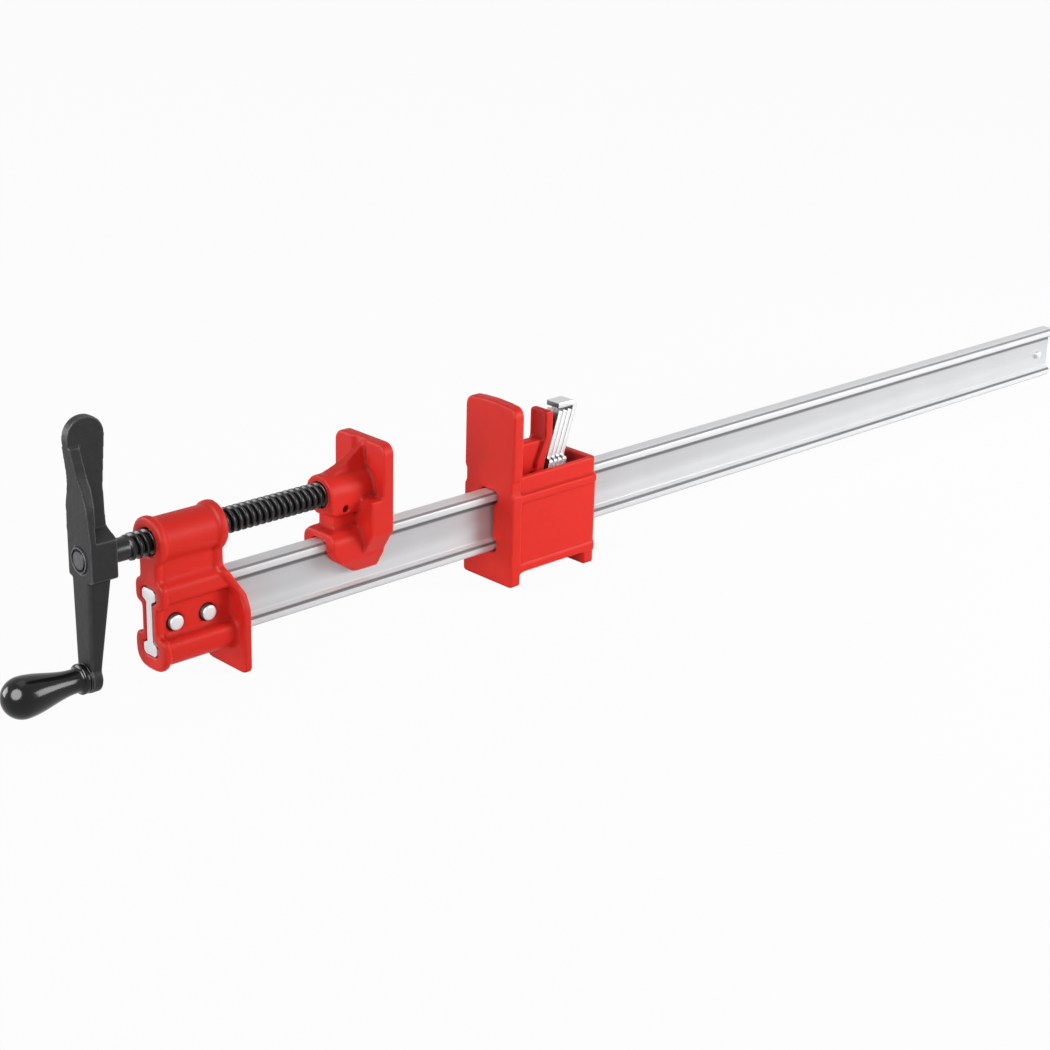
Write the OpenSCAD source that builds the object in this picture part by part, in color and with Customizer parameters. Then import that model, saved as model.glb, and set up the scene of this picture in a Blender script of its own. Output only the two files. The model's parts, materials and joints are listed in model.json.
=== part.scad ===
// Door clamp: a screw-driven jaw and a sliding stop head on an I-section steel rail.
// X runs along the rail from the crank to the free end, Z is up, and Y = 0 is the rail's mid-plane.
// The origin lies under the fixed head's foot, on the surface that the clamp stands on.

/* [Rail] */
// Length of the steel rail
rail_len = 800; // [600:10:1200]
// Height of the I-section
rail_h = 36; // [32:1:42]
// Width across the flanges
rail_w = 11; // [10:0.5:12.5]
// Thickness of the web
rail_web = 4.5; // [3.5:0.25:6]
// Height of a flange's flat side
rail_side = 5.4; // [4.5:0.1:7]
// Rise of the sloping inner face between flange side and web
rail_slope = 1.9; // [1:0.1:2.5]
// Bevel on the four outer edges
rail_edge = 1.75; // [1:0.05:2.2]
// Diameter of the stop pin near the free end
stop_pin_d = 5; // [4:0.25:6]
// Stop pin's distance from the free end
stop_pin_inset = 14; // [8:1:30]
// How far the stop pin stands out of the web on each side
stop_pin_reach = 3; // [2:0.25:4]

/* [Fixed head] */
// Length of the screw boss
head_len = 41; // [36:1:50]
// Height of the screw axis above the rail's top
axis_rise = 25; // [24:0.5:28]
// Radius of the boss over its end rims
boss_r = 13; // [11.5:0.25:14]
// How far the end rims stand out of the casting
rim_proud = 1.5; // [0.8:0.1:2]
// Length of an end rim
rim_len = 4.2; // [3:0.1:6]
// Half width at the waist between boss and rail
waist_hw = 7.6; // [6.5:0.1:9]
// Half width of the bulge round the rail's top flange
hood_hw = 11.8; // [11:0.1:13]
// Half width of the bulge round the rail's bottom flange
keel_hw = 13; // [12:0.1:14]
// Half width over the flat zone beside the web
flank_hw = 6.6; // [6.2:0.1:7.4]
// Height of the top bulge under and over the rail's top face
hood_down = 9.5; // [8.5:0.1:11]
// Rise of the top bulge over the rail
hood_up = 2.6; // [2:0.1:6]
// Depth of the bottom bulge under the rail
keel_down = 8; // [6:0.25:10]
// Rise of the bottom bulge over the rail's bottom face
keel_up = 10.5; // [9.5:0.1:12]
// Thickness of the foot plate
foot_t = 4.6; // [3.5:0.1:6]
// Half width of the foot plate
foot_hw = 17; // [16:0.5:26]
// Distance from the rail's bottom face down to the resting surface
foot_drop = 19; // [15:0.5:24]
// Distance from the head's front face to the back of the foot plate
foot_reach = 51; // [48:0.5:60]
// Height at which the foot plate reaches its full width, over the rail's bottom face
foot_shoulder = 17; // [12:0.5:19]
// Clearance between the rail and the castings round it
rail_gap = 0.5; // [0.3:0.05:0.8]
// Diameter of the two pins through head and rail
head_pin_d = 7.6; // [6:0.1:9]
// Distance of the first pin from the head's front face
head_pin_x = 12; // [9:0.5:13]
// Distance between the two pins
head_pin_pitch = 20; // [17:0.5:22]
// Counterbore round a pin's end
head_pin_seat_d = 9.6; // [9.4:0.1:11]
// Depth of that counterbore
head_pin_seat_depth = 1.2; // [0.8:0.1:1.6]

/* [Screw] */
// Outer diameter of the trapezoidal thread
thread_d = 14; // [12:0.5:16]
// Advance of the screw in one turn
thread_lead = 4; // [3:0.5:5]
// Diameter of the smooth neck behind the crank
neck_d = 12; // [10:0.5:13]
// Length of the neck from the crank to the thread
neck_len = 16; // [12:1:20]
// Diameter of the spindle's end in the crank hub
tenon_d = 13.4; // [11:0.2:15]
// Radial clearance of running fits
run_fit = 0.06; // [0.03:0.01:0.1]
// Crank hub's distance in front of the fixed head as shown
hub_gap = 23; // [21:0.5:40]

/* [Crank] */
// Radius from the screw axis to the knob's axis
crank_r = 62; // [50:1:70]
// Reach of the thumb paddle from the screw axis
paddle_r = 72.5; // [60:0.5:76]
// Depth of the crank hub along the screw
hub_len = 15.5; // [14:0.5:20]
// Width of the crank hub
hub_w = 20.5; // [18:0.5:26]
// Height of the crank hub
hub_h = 20.5; // [19:0.5:28]
// Width of the paddle seen from the side
paddle_w = 21.8; // [17:0.1:24]
// Thickness of the paddle
paddle_t = 5; // [4:0.25:8]
// Thickness of the flange along the paddle's front edge
flange_t = 4.4; // [3:0.1:6]
// Width of the lower arm at the hub
arm_w = 16; // [13:0.5:18]
// Depth of the lower arm at the hub
arm_d = 13; // [10:0.5:14]
// Width of the lower arm above the knob
arm_tip_w = 13.4; // [11:0.2:15]
// Depth of the lower arm at the knob
arm_tip_d = 5.6; // [4.5:0.1:8]
// Diameter of the pin through hub and spindle
crank_pin_d = 5; // [4:0.25:6]
// Length of the knob
knob_len = 45; // [36:0.5:60]
// Diameter of the knob's ball end
knob_d = 21.4; // [18:0.2:26]
// Diameter of the knob's neck
knob_neck_d = 12.6; // [11:0.1:15]
// Diameter of the knob's collar
knob_collar_d = 15.8; // [15.6:0.1:18]
// Diameter of the knob's axle
axle_d = 6; // [5:0.25:7]
// Thickness of the washer behind the knob
washer_t = 1; // [0.8:0.1:2]

/* [Moving jaw] */
// Distance of the moving jaw's face from the fixed head's front face, as shown
jaw_reach = 143; // [130:1:180]
// Half width of the jaw plates
jaw_hw = 20.4; // [18:0.1:26]
// Height of the moving jaw's plate over the rail's top face
jaw_top = 51.5; // [44:0.5:60]
// Thickness of the moving jaw's plate
jaw_t = 5.5; // [5:0.25:9]
// Corner radius of the jaw plates
jaw_corner = 6; // [3:0.5:8]
// Length of the thick block at the foot of the plate
jaw_block_len = 15; // [12:0.5:18]
// Height of that block over the rail's top face
jaw_block_top = 21.5; // [18:0.5:24]
// Distance from the jaw's face back to the socket's mouth
socket_reach = 34.5; // [30:0.5:38]
// Outer radius of the screw socket
socket_r = 10.8; // [10.6:0.1:13]
// Wall between the socket's bottom and the jaw's face
socket_wall = 10; // [8:0.5:14]
// Height of the socket's flat flanks below the screw axis
socket_drop = 10; // [8:0.25:11]
// Thickness of the gusset between socket and plate
gusset_t = 8; // [5:0.5:10]
// Height of the pads on the back of the plate
pad_t = 1.6; // [1:0.1:2.5]
// Half width of the saddle over the rail
saddle_hw = 13; // [12:0.25:15]
// Depth of the saddle's skirts below the rail's top face
saddle_down = 21.5; // [18:0.25:22.5]
// Rise of the saddle over the rail's top face
saddle_up = 5.2; // [4.5:0.1:9]
// Distance from the jaw's face back to the saddle's front arch
saddle_reach = 35; // [34.5:0.5:42]
// Half width at the waist between saddle and socket
jaw_waist_hw = 6.5; // [5.5:0.1:8]
// Diameter of the cross pin that holds the spindle in the jaw
jaw_pin_d = 4; // [3:0.25:5]
// Distance of the cross pin from the socket's mouth
jaw_pin_x = 10; // [7:0.5:14]
// Depth of the spindle's groove
groove_depth = 1.6; // [1:0.1:2.2]
// Thickness of the thrust disc
disc_t = 2.5; // [2:0.25:4]

/* [Sliding head] */
// Opening between the two jaw faces, as shown
jaw_opening = 88.4; // [75:0.1:120]
// Height of the front plate over the rail's top face
stop_top = 53.5; // [46:0.5:64]
// Thickness of the front plate
stop_t = 7.2; // [6:0.2:9]
// Length of the sliding head
slide_len = 69; // [66:0.5:76]
// Half width over the side panels
panel_hw = 19.4; // [17:0.2:24]
// How far the two bands stand out of a side panel
band_proud = 0.9; // [0.4:0.1:1.4]
// Height of the lower band
band_h = 4.8; // [3:0.2:6]
// Height of the pocket's rim over the rail's top face
rim_top = 10.2; // [9:0.2:12]
// Setback of the pocket's rim from the side panel
rim_setback = 1.4; // [0.6:0.1:2]
// Thickness of the side walls
wall_t = 4.6; // [3.6:0.1:6]
// Thickness of the rear wall and its foot
rear_t = 4.8; // [4:0.1:8]
// Depth of the side panels below the rail's bottom face
skirt_down = 11; // [9:0.25:13]
// Half width of the thumb lug
lug_hw = 6.8; // [5.5:0.1:8]
// Half width of the web between front plate and lug
lug_web_hw = 4; // [3:0.1:5]
// Height of the thumb lug over the rail's top face
lug_top = 40.5; // [34:0.5:46]
// Thickness of the thumb lug
lug_t = 5.6; // [4.5:0.1:7]
// Height of the finger notch's bottom over the rail's top face
notch_floor = 23.4; // [20:0.2:27]
// Distance from the front face to the back of the lug
lug_reach = 43.6; // [42:0.1:45]
// Radius of the fillet behind the front plate's foot
arch_fillet = 4.5; // [2:0.25:6]

/* [Clutch] */
// Number of clutch plates
plate_count = 4; // [4:1:4]
// Thickness of a clutch plate
plate_t = 3.2; // [2.6:0.1:3.2]
// Distance between two plates along the rail
plate_pitch = 3.6; // [3.6:0.1:3.8]
// Backward lean of the plates when they grip, in degrees
plate_lean = 18.5; // [17:0.5:20]
// Forward tilt that frees the plates, in degrees
plate_release = 5; // [3:0.5:5]
// Distance from the front face to the first plate's pivot
plate_x = 42; // [41.6:0.1:43]
// Height of the plates' pivot line over the rail's top face
pivot_rise = 9; // [8:0.25:10]
// Half width of a plate in the pocket
plate_hw = 13.4; // [12:0.1:14]
// Half width of a plate's tab
tab_hw = 5; // [4:0.25:6]
// Length of a plate's tab above the pivot line
tab_len = 30.5; // [24:0.5:34]
// Half width of the shoulder below the tab
shoulder_hw = 8; // [6.5:0.25:9]
// Height of a plate's bar below the rail
plate_bar = 8; // [6:0.25:9]
// Gap between a gripping plate and the rail's faces
grip_gap = 0.15; // [0.1:0.05:0.3]
// Gap between the folded tab and the plates below it
fold_gap = 1.3; // [1.2:0.1:2]
// Overhang of the folded tab in front of the first plate
fold_nose = 1.2; // [0.5:0.1:2.5]
// Wire diameter of the clutch spring
wire_d = 1; // [0.8:0.1:1.2]
// Outer diameter of the clutch spring
spring_d = 7; // [6:0.25:7.5]
// Working coils of the clutch spring
spring_turns = 5; // [4:1:6]

/* [Hidden] */

// Colours as photographed
casting_red = [0.86, 0.2, 0.17];
crank_black = [0.16, 0.16, 0.17];
screw_black = [0.07, 0.07, 0.08];
zinc = [0.8, 0.81, 0.82];
plate_zinc = [0.9, 0.9, 0.91];

// Smoothness of round faces and of rounded corners
round_fn = 64;
soft_fn = 32;
corner_steps = 6;
// Overrun of every cut
over = 1;

// Main places
head_x = foot_t / 2 - foot_reach;
rail_z = foot_drop;
rail_top = rail_z + rail_h;
axis_z = rail_top + axis_rise;
jaw_x = head_x + jaw_reach;
stop_x = jaw_x + jaw_opening;
hub_x = head_x - hub_gap;
crank_face_x = hub_x - hub_len;
head_pin_z = rail_z + rail_h * 0.46;
socket_x = jaw_x - socket_reach;
jaw_pin_place = [socket_x + jaw_pin_x, 0, axis_z - thread_d / 2 + groove_depth - jaw_pin_d / 2 - run_fit];
knob_z = axis_z - crank_r;
clutch_z = rail_top + pivot_rise;
clutch_x = stop_x + plate_x;

// A corner of an outline, rounded to radius r by an arc of short steps
function heading(v) = v / norm(v);
function corner(before, at, after, r) =
    r == 0 ? [at] :
    let(u = heading(before - at), w = heading(after - at))
    let(half = acos(u * w) / 2)
    let(centre = at + heading(u + w) * r / sin(half))
    let(first = at + u * r / tan(half) - centre, last = at + w * r / tan(half) - centre)
    let(start = atan2(first[1], first[0]), turn = atan2(last[1], last[0]) - start)
    let(sweep = turn > 180 ? turn - 360 : turn < -180 ? turn + 360 : turn)
    [for (i = [0:corner_steps]) let(a = start + sweep * i / corner_steps) centre + r * [cos(a), sin(a)]];
// Outline through points of the form [x, y, radius]
function flat(p) = [p[0], p[1]];
function rounded(pts) = let(n = len(pts))
    [for (i = [0:n - 1]) each corner(flat(pts[(i + n - 1) % n]), flat(pts[i]), flat(pts[(i + 1) % n]), pts[i][2])];
// The right half of an outline, from bottom to top, with its mirror image
function both_sides(half) =
    concat(half, [for (i = [len(half) - 1:-1:0]) [-half[i][0], half[i][1], half[i][2]]]);

// An outline in Y and Z, run along X from x
module along_x(x, length) {
    translate([x, 0, 0])
        rotate([90, 0, 90])
            linear_extrude(length)
                children();
}

// An outline in X and Z, run across Y about the mid-plane
module across_y(width) {
    rotate([90, 0, 0])
        linear_extrude(width, center = true)
            children();
}

// A round bar or bore along X or across Y
module rod_x(x, length, r, z = 0) {
    translate([x, 0, z])
        rotate([0, 90, 0])
            cylinder(h = length, r = r, $fn = round_fn);
}
module rod_y(place, length, r) {
    translate(place)
        rotate([90, 0, 0])
            cylinder(h = length, r = r, center = true, $fn = round_fn);
}

// The rail's section, grown on all sides by gap
module rail_section(gap = 0) {
    side = rail_side + gap;
    polygon(rounded(both_sides([
        [rail_w / 2 + gap - rail_edge, -gap, 0],
        [rail_w / 2 + gap, rail_edge - gap, 0],
        [rail_w / 2 + gap, side, 0],
        [rail_web / 2 + gap, side + rail_slope, 0],
        [rail_web / 2 + gap, rail_h - side - rail_slope, 0],
        [rail_w / 2 + gap, rail_h - side, 0],
        [rail_w / 2 + gap, rail_h - rail_edge + gap, 0],
        [rail_w / 2 + gap - rail_edge, rail_h + gap, 0]])));
}

module rail() {
    color(zinc)
        difference() {
            translate([0, 0, rail_z])
                along_x(head_x, rail_len)
                    rail_section();
            for (i = [0, 1])
                rod_y([head_x + head_pin_x + i * head_pin_pitch, 0, head_pin_z],
                    rail_w, head_pin_d / 2 + run_fit);
            rod_y([head_x + rail_len - stop_pin_inset, 0, rail_z + rail_h / 2], rail_w,
                stop_pin_d / 2 + run_fit);
        }
}

module rail_stop_pin() {
    color(zinc)
        rod_y([head_x + rail_len - stop_pin_inset, 0, rail_z + rail_h / 2],
            rail_web + 2 * stop_pin_reach, stop_pin_d / 2);
}

// Cross-section of the fixed head below its boss; inset is the setback behind the rims
module head_section(inset) {
    neck_top = rail_h + axis_rise - sqrt(pow(boss_r, 2) - pow(waist_hw, 2));
    polygon(rounded(both_sides([
        [keel_hw - inset, inset - keel_down, keel_hw * 0.7],
        [keel_hw - inset, keel_up - inset, keel_hw * 0.28],
        [flank_hw - inset, keel_up - inset, rim_proud],
        [flank_hw - inset, rail_h - hood_down + inset, rim_proud],
        [hood_hw - inset, rail_h - hood_down + inset, hood_hw * 0.3],
        [hood_hw - inset, rail_h + hood_up - inset, hood_hw * 0.28],
        [waist_hw - inset, rail_h + hood_up + waist_hw * 0.3, waist_hw * 0.3],
        [waist_hw - inset, neck_top, waist_hw / 2],
        [boss_r * 0.72 - inset, neck_top + waist_hw / 2, 0]])));
    translate([0, rail_h + axis_rise])
        circle(r = boss_r - inset, $fn = round_fn);
}

// Side view of the fixed head: upright boss end, then a sweep back to the foot plate
module head_side(bottom) {
    polygon(rounded([
        [0, -bottom, 0],
        [foot_reach, -bottom, 0],
        [foot_reach, rail_h * 0.68, rail_h * 0.18],
        [head_len, rail_h * 1.1, rail_h * 0.1],
        [head_len, rail_h + axis_rise + boss_r + over, 0],
        [0, rail_h + axis_rise + boss_r + over, 0]]));
}

// The foot plate's outline, a bell that narrows upwards to the width of the top bulge
module foot_outline() {
    polygon(rounded(both_sides([
        [foot_hw, -foot_drop, foot_t * 0.7],
        [foot_hw, foot_shoulder, foot_hw * 0.4],
        [hood_hw, rail_h * 0.77, hood_hw * 0.25],
        [hood_hw, rail_h + hood_up, hood_hw * 0.45]])));
}

// The curved band along the head's rear edge, thick as the foot plate
module rear_band() {
    difference() {
        head_side(foot_drop);
        translate([-foot_t, 0])
            head_side(foot_drop + over);
    }
}

module fixed_head() {
    color(casting_red)
        difference() {
            union() {
                translate([0, 0, rail_z])
                    intersection() {
                        along_x(head_x, foot_reach)
                            head_section(rim_proud);
                        translate([head_x, 0, 0])
                            across_y(2 * foot_hw)
                                head_side(keel_down + over);
                    }
                translate([0, 0, rail_z])
                    along_x(head_x, rim_len)
                        head_section(0);
                translate([0, 0, rail_z])
                    intersection() {
                        along_x(head_x + rim_len, foot_reach) {
                            head_section(0);
                            foot_outline();
                        }
                        translate([head_x, 0, 0])
                            across_y(2 * foot_hw + over)
                                rear_band();
                    }
            }
            translate([0, 0, rail_z])
                along_x(head_x - over, foot_reach + 2 * over)
                    rail_section(rail_gap);
            rod_x(head_x - over, head_len + 2 * over, thread_d / 2 + run_fit, axis_z);
            translate([head_x - over, 0, axis_z])
                rotate([0, 90, 0])
                    cylinder(h = 2 * over, r1 = thread_d / 2 + 2 * over, r2 = thread_d / 2, $fn = round_fn);
            for (i = [0, 1]) {
                pin_x = head_x + head_pin_x + i * head_pin_pitch;
                rod_y([pin_x, 0, head_pin_z], 2 * hood_hw, head_pin_d / 2 + run_fit);
                for (side = [-1, 1])
                    rod_y([pin_x, side * (flank_hw - rim_proud - head_pin_seat_depth + over), head_pin_z],
                        2 * over, head_pin_seat_d / 2);
            }
        }
}

// A pin with chamfered ends through the head and the rail's web
module head_pin(place) {
    reach = 2 * (flank_hw - rim_proud * 0.7);
    tip = head_pin_d * 0.08;
    translate([head_x + head_pin_x + place * head_pin_pitch, 0, head_pin_z])
        rotate([90, 0, 0]) {
            cylinder(h = reach, d = head_pin_d, center = true, $fn = round_fn);
            for (end = [0, 1])
                mirror([0, 0, end])
                    translate([0, 0, reach / 2])
                        cylinder(h = tip, d1 = head_pin_d, d2 = head_pin_d - 2 * tip, $fn = round_fn);
        }
}

module head_pin_front() {
    color(zinc) head_pin(0);
}

module head_pin_rear() {
    color(zinc) head_pin(1);
}

// Screw: tenon in the hub, smooth neck, thread envelope and a groove for the jaw's cross pin
module spindle() {
    tip_x = jaw_x - socket_wall - disc_t - 2 * run_fit;
    thread_x = hub_x + neck_len;
    groove_w = jaw_pin_d + 4 * run_fit;
    color(screw_black)
        difference() {
            union() {
                rod_x(crank_face_x - over / 2, hub_len + over / 2, tenon_d / 2, axis_z);
                rod_x(hub_x, neck_len, neck_d / 2, axis_z);
                rod_x(thread_x, tip_x - thread_x, thread_d / 2, axis_z);
            }
            translate([jaw_pin_place[0], 0, axis_z])
                rotate([0, 90, 0])
                    difference() {
                        cylinder(h = groove_w, r = thread_d, center = true, $fn = round_fn);
                        cylinder(h = groove_w + over, r = thread_d / 2 - groove_depth, center = true,
                            $fn = round_fn);
                    }
            rod_y([hub_x - hub_len / 2, 0, axis_z], thread_d + 2 * over, crank_pin_d / 2 + run_fit);
        }
}

// A level slice of an arm, given by its span in X and its width in Y
module arm_slice(x, depth, width, z) {
    edge = width * 0.12;
    translate([x, 0, z])
        linear_extrude(over / 2)
            polygon(rounded([
                [0, -width / 2, edge],
                [depth, -width / 2, edge],
                [depth, width / 2, edge],
                [0, width / 2, edge]]));
}

// Side view of the paddle: a waist above the hub, then a leaf with a full round tip
module paddle_outline() {
    root = axis_z + hub_h / 2;
    middle = axis_z + paddle_r * 0.5;
    top = axis_z + paddle_r;
    left = crank_face_x - paddle_w * 0.24;
    right = left + paddle_w;
    polygon(rounded([
        [crank_face_x, root - over, 0],
        [crank_face_x, root + over, 0],
        [crank_face_x - paddle_w * 0.05, middle, paddle_w * 1.4],
        [left, top - paddle_w * 0.55, paddle_w * 0.2],
        [left, top, paddle_w * 0.47],
        [right, top, paddle_w * 0.47],
        [right - paddle_w * 0.13, middle, paddle_w],
        [right - paddle_w * 0.1, root + hub_h * 0.4, hub_h * 0.3],
        [hub_x, root, 0],
        [hub_x, root - over, 0]]));
}

// Front view of the flange along the paddle's front edge, as wide as the hub at its root
module flange_outline() {
    root = axis_z + hub_h / 2;
    polygon(rounded(both_sides([
        [hub_w / 2, root - over, 0],
        [hub_w / 2, root + over, 0],
        [hub_w * 0.44, axis_z + paddle_r * 0.38, hub_w],
        [hub_w * 0.22, axis_z + paddle_r * 0.6, hub_w],
        [paddle_t * 0.66, axis_z + paddle_r * 0.8, 0]])));
}

// Side view of the same flange, which broadens towards its blunt upper end
module flange_side() {
    intersection() {
        paddle_outline();
        polygon([
            [crank_face_x - paddle_w, axis_z],
            [crank_face_x + flange_t * 0.8, axis_z],
            [crank_face_x + flange_t * 0.8, axis_z + hub_h / 2],
            [crank_face_x + flange_t * 1.1, axis_z + paddle_r * 0.5],
            [crank_face_x - paddle_w * 0.24 + flange_t * 1.5, axis_z + paddle_r * 0.8],
            [crank_face_x - paddle_w, axis_z + paddle_r * 0.8]]);
    }
}

module crank_arm() {
    arm_top = axis_z - hub_h / 2;
    color(crank_black)
        difference() {
            union() {
                translate([crank_face_x, 0, axis_z])
                    rotate([90, 0, 90])
                        linear_extrude(hub_len)
                            polygon(rounded(both_sides([
                                [hub_w / 2, -hub_h / 2, hub_w * 0.08],
                                [hub_w / 2, hub_h / 2, 0]])));
                hull() {
                    arm_slice(crank_face_x, arm_d, arm_w, arm_top);
                    arm_slice(crank_face_x, arm_tip_d, arm_tip_w, knob_z);
                }
                rod_x(crank_face_x, arm_tip_d, arm_tip_w / 2 + rim_proud, knob_z);
                across_y(paddle_t)
                    paddle_outline();
                intersection() {
                    across_y(hub_w + over)
                        flange_side();
                    along_x(crank_face_x - paddle_w, 2 * paddle_w)
                        flange_outline();
                }
                intersection() {
                    across_y(hub_w + over)
                        paddle_outline();
                    along_x(crank_face_x + flange_t / 2, hub_len)
                        polygon(rounded(both_sides([
                            [hub_w / 2, axis_z + hub_h / 2 - over, 0],
                            [hub_w / 2, axis_z + hub_h / 2, 0],
                            [paddle_t / 2, axis_z + hub_h / 2 + paddle_t, 0]])));
                }
            }
            rod_x(crank_face_x - over, hub_len + 2 * over, tenon_d / 2 + run_fit, axis_z);
            rod_x(crank_face_x - over, arm_tip_d + 2 * over, axle_d / 2 + run_fit, knob_z);
            rod_x(crank_face_x + arm_tip_d, 2 * over, axle_d * 0.75 + run_fit, knob_z);
            rod_y([hub_x - hub_len / 2, 0, axis_z], hub_w + 2 * over, crank_pin_d / 2 + run_fit);
        }
}

module crank_pin() {
    color(crank_black)
        rod_y([hub_x - hub_len / 2, 0, axis_z], hub_w, crank_pin_d / 2);
}

// Knob and axle are turned about the knob's axis, which leaves the arm towards -X
module knob_frame() {
    translate([crank_face_x - washer_t, 0, knob_z])
        rotate([0, -90, 0])
            children();
}

module crank_knob() {
    ball_z = knob_len - knob_d / 2;
    ball_r = knob_d / 2;
    collar_h = knob_collar_d * 0.2;
    bore_r = axle_d / 2 + run_fit;
    snap_r = axle_d * 0.62 + run_fit;
    bore_end = knob_len - knob_d * 0.4;
    snap_z = bore_end - axle_d;
    color(screw_black)
        knob_frame()
            rotate_extrude($fn = round_fn)
                polygon(concat(
                    [[bore_r, run_fit], [knob_collar_d / 2 - collar_h / 3, run_fit],
                        [knob_collar_d / 2, collar_h / 3], [knob_collar_d / 2, collar_h],
                        [knob_neck_d / 2 + collar_h / 3, collar_h * 1.3],
                        [knob_neck_d / 2, collar_h * 1.8], [knob_neck_d / 2, collar_h * 2.4]],
                    [for (i = [1:11]) let(t = i / 12, s = t * t * (3 - 2 * t))
                        [knob_neck_d / 2 + (ball_r - knob_neck_d / 2) * s,
                            collar_h * 2.4 + (ball_z - collar_h * 2.4) * t]],
                    [for (a = [0:9:81]) [ball_r * cos(a), ball_z + ball_r * sin(a)]],
                    [[ball_r * 0.06, knob_len], [0, knob_len], [0, bore_end], [snap_r, bore_end], [snap_r, snap_z],
                        [bore_r, snap_z - axle_d * 0.12]]));
}

module knob_axle() {
    head_r = axle_d * 0.62;
    head_z = knob_len - knob_d * 0.4 - axle_d;
    color(zinc)
        knob_frame() {
            translate([0, 0, -washer_t - arm_tip_d])
                cylinder(h = washer_t + arm_tip_d + head_z + axle_d * 0.6, d = axle_d, $fn = round_fn);
            translate([0, 0, head_z + run_fit])
                cylinder(h = axle_d * 0.6, r1 = head_r, r2 = axle_d / 2, $fn = round_fn);
            translate([0, 0, -washer_t - arm_tip_d - axle_d * 0.2])
                cylinder(h = axle_d * 0.2, r1 = axle_d * 0.6, r2 = axle_d * 0.75, $fn = round_fn);
        }
}

module knob_washer() {
    color(zinc)
        knob_frame()
            translate([0, 0, -washer_t])
                difference() {
                    cylinder(h = washer_t, r = knob_collar_d / 2, $fn = round_fn);
                    translate([0, 0, -over])
                        cylinder(h = washer_t + 2 * over, r = axle_d / 2 + run_fit, $fn = round_fn);
                }
}

// Front view of the moving jaw's plate, with its lower corners cut back to the saddle's hooks
module jaw_front() {
    polygon(rounded(both_sides([
        [saddle_hw * 0.44, rail_h - saddle_down, saddle_hw * 0.3],
        [jaw_hw, rail_h + run_fit + gusset_t * 0.3, jaw_corner / 2],
        [jaw_hw, rail_h + jaw_top, jaw_corner]])));
}

// Cross-section below the screw: skirts, hood over the flange, waist, flat-sided socket
module saddle_section() {
    flank_z = rail_h + axis_rise - socket_drop;
    polygon(rounded(both_sides([
        [saddle_hw * 0.52, rail_h - saddle_down, saddle_hw * 0.15],
        [saddle_hw, rail_h - saddle_down * 0.52, saddle_hw * 0.4],
        [saddle_hw, rail_h + saddle_up * 0.2, saddle_hw * 0.4],
        [saddle_hw * 0.66, rail_h + saddle_up, saddle_hw * 0.2],
        [jaw_waist_hw, rail_h + saddle_up * 1.15, saddle_hw * 0.1],
        [jaw_waist_hw, flank_z - jaw_waist_hw * 0.3, saddle_hw * 0.1],
        [socket_r, flank_z, socket_r * 0.3],
        [socket_r, rail_h + axis_rise, 0]])));
}

// Side view of the same part: socket front, notch at the waist, arch front, rising skirt
module saddle_side() {
    nose = saddle_reach;
    flank_z = rail_h + axis_rise - socket_drop;
    polygon(rounded([
        [-socket_reach, rail_h + axis_rise, 0],
        [0, rail_h + axis_rise, 0],
        [0, rail_h - saddle_down, 0],
        [-nose * 0.45, rail_h - saddle_down, saddle_down * 0.5],
        [-nose * 0.86, rail_h - saddle_down * 0.55, saddle_down * 0.25],
        [-nose, rail_h - saddle_down * 0.25, saddle_down * 0.2],
        [-nose, rail_h + saddle_up * 0.9, saddle_up * 0.3],
        [-nose * 0.84, rail_h + saddle_up * 1.1, saddle_up * 0.3],
        [-nose * 0.84, flank_z - jaw_waist_hw * 0.3, saddle_up * 0.3],
        [-socket_reach, flank_z + jaw_waist_hw * 0.2, saddle_up * 0.3]]));
}

// Pads on the back of the plate, cut away round socket and gusset
module pad_outline() {
    difference() {
        polygon(rounded(both_sides([
            [jaw_hw, rail_h + jaw_block_top - over, 0],
            [jaw_hw, rail_h + jaw_top, jaw_corner]])));
        polygon([[-gusset_t * 0.7, rail_h], [gusset_t * 0.7, rail_h],
            [gusset_t * 0.7, rail_h + jaw_top], [-gusset_t * 0.7, rail_h + jaw_top]]);
        translate([0, rail_h + axis_rise])
            circle(r = socket_r * 1.3, $fn = round_fn);
    }
}

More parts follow.
